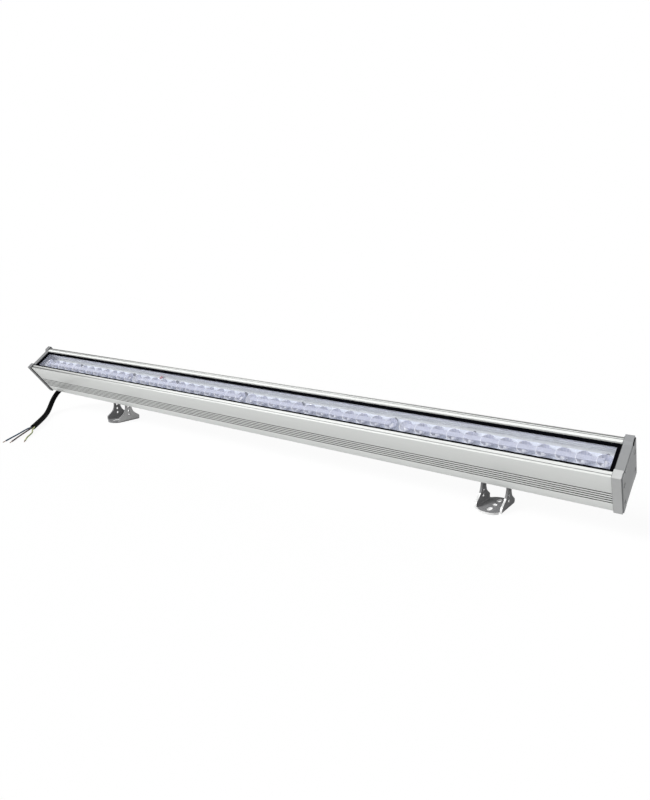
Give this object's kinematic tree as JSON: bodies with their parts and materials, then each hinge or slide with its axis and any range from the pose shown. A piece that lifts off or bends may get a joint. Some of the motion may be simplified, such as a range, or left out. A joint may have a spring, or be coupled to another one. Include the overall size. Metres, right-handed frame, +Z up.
{
  "type": "outdoor wall washer light",
  "caption": "Linear outdoor wall washer: glazed row of lenses in an extruded housing on two sliding, tilting brackets, with a bare-ended mains lead.",
  "frame": {"origin": "middle of the object's box at the level of the bracket bases, without the lead", "axes": "+X along the light towards its right end, +Y back, +Z up"},
  "size_m": [1, 0.221, 0.1125],
  "materials": {
    "anodised_aluminium": "satin clear anodised",
    "cast_caps": "die cast, fine matt coat",
    "grey_gasket": "matt silicone",
    "stainless_screws": "turned stainless",
    "cover_glass": "clear toughened",
    "black_seal": "matt black silicone",
    "board_white": "white solder mask",
    "clear_lens": "clear moulded, faintly frosted",
    "phosphor": "matt phosphor",
    "lead_red": "smooth insulation",
    "driver_metal": "plain folded sheet",
    "circuit_green": "solder mask",
    "winding_tape": "polyester tape",
    "capacitor_sleeve": "shrink sleeve",
    "lead_grey": "smooth insulation",
    "black_plastic": "moulded",
    "black_rubber": "matt",
    "wire_blue": "smooth insulation",
    "wire_brown": "smooth insulation",
    "wire_green_yellow": "striped insulation",
    "bare_copper": "bare stranded copper",
    "shoe_metal": "machined",
    "bracket_metal": "satin stainless sheet"
  },
  "bodies": {
    "head": {"housing_extrusion": "anodised_aluminium", "left_end_cap": "cast_caps", "right_end_cap": "cast_caps", "left_end_gasket": "grey_gasket", "right_end_gasket": "grey_gasket", "end_cap_screws": "stainless_screws", "cover_glass": "cover_glass", "glass_seal": "black_seal", "glass_bed_gasket": "black_seal", "led_board_1": "board_white", "led_board_2": "board_white", "led_board_3": "board_white", "led_board_4": "board_white", "lens_strip_1": "clear_lens", "lens_strip_2": "clear_lens", "lens_strip_3": "clear_lens", "lens_strip_4": "clear_lens", "led_emitters": "phosphor", "board_screws": "stainless_screws", "board_links": "board_white", "output_leads": "lead_red", "driver_tray": "driver_metal", "driver_cover": "driver_metal", "driver_board": "circuit_green", "driver_transformer": "winding_tape", "driver_capacitors": "capacitor_sleeve", "terminal_block": "circuit_green", "driver_screws": "stainless_screws", "supply_leads": "lead_grey", "cable_entry_foot": "black_plastic", "entry_grommet": "black_seal", "cable_boot": "black_rubber", "power_cable": "black_rubber", "blue_conductor": "wire_blue", "brown_conductor": "wire_brown", "earth_conductor": "wire_green_yellow", "bare_strands": "bare_copper"},
    "left_shoe": {"left_slot_shoe": "shoe_metal", "left_lock_screw": "stainless_screws"},
    "left_foot": {"left_bracket": "bracket_metal", "left_pivot_bolt": "stainless_screws", "left_pivot_nut": "stainless_screws", "left_pivot_washers": "stainless_screws"},
    "right_shoe": {"right_slot_shoe": "shoe_metal", "right_lock_screw": "stainless_screws"},
    "right_foot": {"right_bracket": "bracket_metal", "right_pivot_bolt": "stainless_screws", "right_pivot_nut": "stainless_screws", "right_pivot_washers": "stainless_screws"}
  },
  "joints": [
    {"name": "left_slide", "type": "slide", "parent": "head", "child": "left_shoe", "axis": [1, 0, 0], "range_m": [-0.1, 0.1]},
    {"name": "left_tilt", "type": "hinge", "parent": "left_shoe", "child": "left_foot", "pos_m": [-0.319, 0.01547, 0.0323], "axis": [1, 0, 0], "range_deg": [-32, 106]},
    {"name": "right_slide", "type": "slide", "parent": "head", "child": "right_shoe", "axis": [1, 0, 0], "range_m": [-0.1, 0.1]},
    {"name": "right_tilt", "type": "hinge", "parent": "right_shoe", "child": "right_foot", "pos_m": [0.358, 0.01547, 0.0323], "axis": [1, 0, 0], "range_deg": [-32, 106]}
  ]
}
